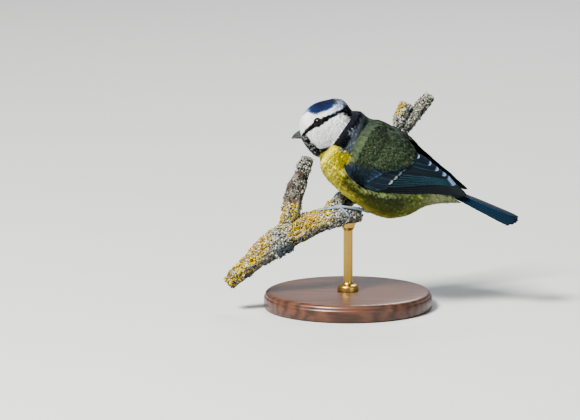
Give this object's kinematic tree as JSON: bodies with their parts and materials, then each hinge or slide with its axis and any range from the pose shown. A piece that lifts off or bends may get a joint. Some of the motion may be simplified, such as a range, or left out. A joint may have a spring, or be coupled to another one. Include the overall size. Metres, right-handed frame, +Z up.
{
  "type": "blue tit on a perch",
  "caption": "Life-size small songbird with folded wings and a closed bill, gripping a forked length of lichened branch held up by a rod on a round base.",
  "frame": {"origin": "centre of the flat underside of the stand's base", "axes": "+Z up; the bird faces -X with its left side towards -Y; +Y away from the picture's viewpoint"},
  "size_m": [0.14, 0.08, 0.1006],
  "materials": {
    "plumage_white": "soft white and blue head feathers",
    "plumage_dark": "soft blue-black neck feathers",
    "plumage_yellow": "soft yellow and olive body feathers",
    "plumage_blue": "firm blue and grey flight feathers with a dull sheen",
    "horn": "dark slate horn, satin",
    "eye": "dark, wet gloss",
    "leg_skin": "blue-grey scaled skin",
    "lichened_bark": "bark under yellow and grey lichen",
    "bark": "grey bark with pale lichen",
    "stained_wood": "dark stained wood, satin",
    "brass_rod": "satin brass"
  },
  "bodies": {
    "root": {"head": "plumage_white", "neck": "plumage_dark", "torso": "plumage_yellow", "wing_left": "plumage_blue", "wing_right": "plumage_blue", "tail": "plumage_blue", "bill_upper": "horn", "bill_lower": "horn", "eye_left": "eye", "eye_right": "eye", "leg_left": "leg_skin", "leg_right": "leg_skin", "foot_left": "leg_skin", "foot_right": "leg_skin", "perch_lower_limb": "lichened_bark", "perch_upper_limb": "bark", "perch_front_spur": "bark", "perch_back_spur": "bark", "stand_base": "stained_wood", "stand_rod": "brass_rod"}
  },
  "joints": []
}
